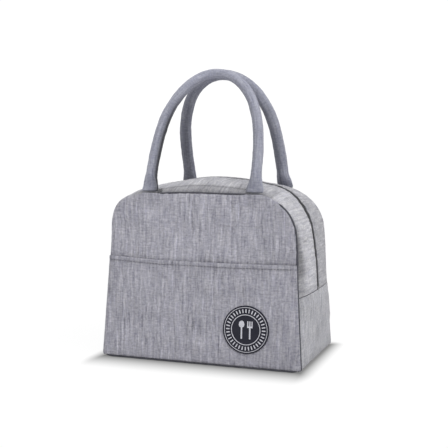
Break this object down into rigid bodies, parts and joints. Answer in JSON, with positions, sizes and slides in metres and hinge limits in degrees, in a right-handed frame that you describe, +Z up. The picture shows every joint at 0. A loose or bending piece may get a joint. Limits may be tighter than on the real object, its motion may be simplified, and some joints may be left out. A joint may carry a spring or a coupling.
{
  "type": "insulated lunch bag",
  "caption": "Soft insulated lunch bag in woven fabric, domed zip top over a foil-lined compartment, padded carry handles, slip pocket and round patch on the front.",
  "frame": {"origin": "centre of the flat base, on the floor", "axes": "+Z up; -Y is the front face with the pocket and patch; +X is the bag's right as seen from the front"},
  "size_m": [0.232, 0.141, 0.3126],
  "materials": {
    "outer_fabric": "grey slub-woven oxford cloth, matt",
    "handle_fabric": "grey woven cloth rolled over a foam cord, matt",
    "seam_binding": "folded seam edge, matt",
    "foam": "closed-cell foam sheet, matt",
    "foil_lining": "metallised film, creased and shiny",
    "zip_tape": "dark woven tape",
    "zip_coil": "nylon coil, satin",
    "zip_metal": "gunmetal zinc casting",
    "patch_base": "soft moulded rubber with a fine twill grain",
    "patch_print": "raised pale print",
    "thread": "polyester sewing thread"
  },
  "bodies": {
    "bag_body": {"base_panel": "outer_fabric", "base_foam": "foam", "base_lining": "foil_lining", "left_side_panel": "outer_fabric", "left_side_foam": "foam", "left_side_lining": "foil_lining", "right_side_panel": "outer_fabric", "right_side_foam": "foam", "right_side_lining": "foil_lining", "front_panel": "outer_fabric", "front_foam_lower": "foam", "front_lining": "foil_lining", "front_binding": "seam_binding", "front_pocket": "outer_fabric", "pocket_hem_stitching": "thread", "rear_panel": "outer_fabric", "rear_foam_lower": "foam", "rear_lining": "foil_lining", "rear_binding": "seam_binding", "patch_disc": "patch_base", "patch_rings": "patch_print", "patch_dashes": "patch_print", "patch_spoon": "patch_print", "patch_fork": "patch_print", "zip_top_stops": "zip_metal", "zip_bottom_stop": "zip_metal"},
    "front_half": {"front_gusset": "outer_fabric", "front_gusset_foam": "foam", "front_gusset_lining": "foil_lining", "front_foam_upper": "foam", "front_handle_anchors": "handle_fabric", "front_zip_tape": "zip_tape", "front_zip_coil": "zip_coil"},
    "rear_half": {"rear_gusset": "outer_fabric", "rear_gusset_foam": "foam", "rear_gusset_lining": "foil_lining", "rear_foam_upper": "foam", "rear_handle_anchors": "handle_fabric", "rear_zip_tape": "zip_tape", "rear_zip_coil": "zip_coil"},
    "front_handle": {"front_handle_cover": "handle_fabric", "front_handle_core": "foam"},
    "rear_handle": {"rear_handle_cover": "handle_fabric", "rear_handle_core": "foam"},
    "zip_slider": {"slider_body": "zip_metal"},
    "zip_pull": {"pull_tab": "zip_metal"}
  },
  "joints": [
    {"name": "front_mouth", "type": "hinge", "parent": "bag_body", "child": "front_half", "pos_m": [0, 0, 0.0755], "axis": [1, 0, 0], "range_deg": [0, 18], "stiffness_Nm_per_rad": 0.25, "deforming": ["front_panel", "front_pocket", "front_lining", "front_binding", "pocket_hem_stitching", "front_gusset", "front_gusset_lining", "front_zip_tape", "front_zip_coil"]},
    {"name": "rear_mouth", "type": "hinge", "parent": "bag_body", "child": "rear_half", "pos_m": [0, 0, 0.0755], "axis": [-1, 0, 0], "range_deg": [0, 18], "stiffness_Nm_per_rad": 0.25, "deforming": ["rear_panel", "rear_lining", "rear_binding", "rear_gusset", "rear_gusset_lining", "rear_zip_tape", "rear_zip_coil"]},
    {"name": "front_handle_fold", "type": "hinge", "parent": "front_half", "child": "front_handle", "pos_m": [0, -0.058, 0.1823], "axis": [1, 0, 0], "range_deg": [-1, 160]},
    {"name": "rear_handle_fold", "type": "hinge", "parent": "rear_half", "child": "rear_handle", "pos_m": [0, 0.058, 0.1823], "axis": [-1, 0, 0], "range_deg": [-1, 160]},
    {"name": "slider_travel", "type": "slide", "parent": "bag_body", "child": "zip_slider", "axis": [0.0833, 0, 0.9965], "range_m": [0, 0.035]},
    {"name": "pull_swing", "type": "hinge", "parent": "zip_slider", "child": "zip_pull", "pos_m": [-0.11594, 0, 0.08608], "axis": [0, 1, 0], "range_deg": [-3, 170]}
  ]
}
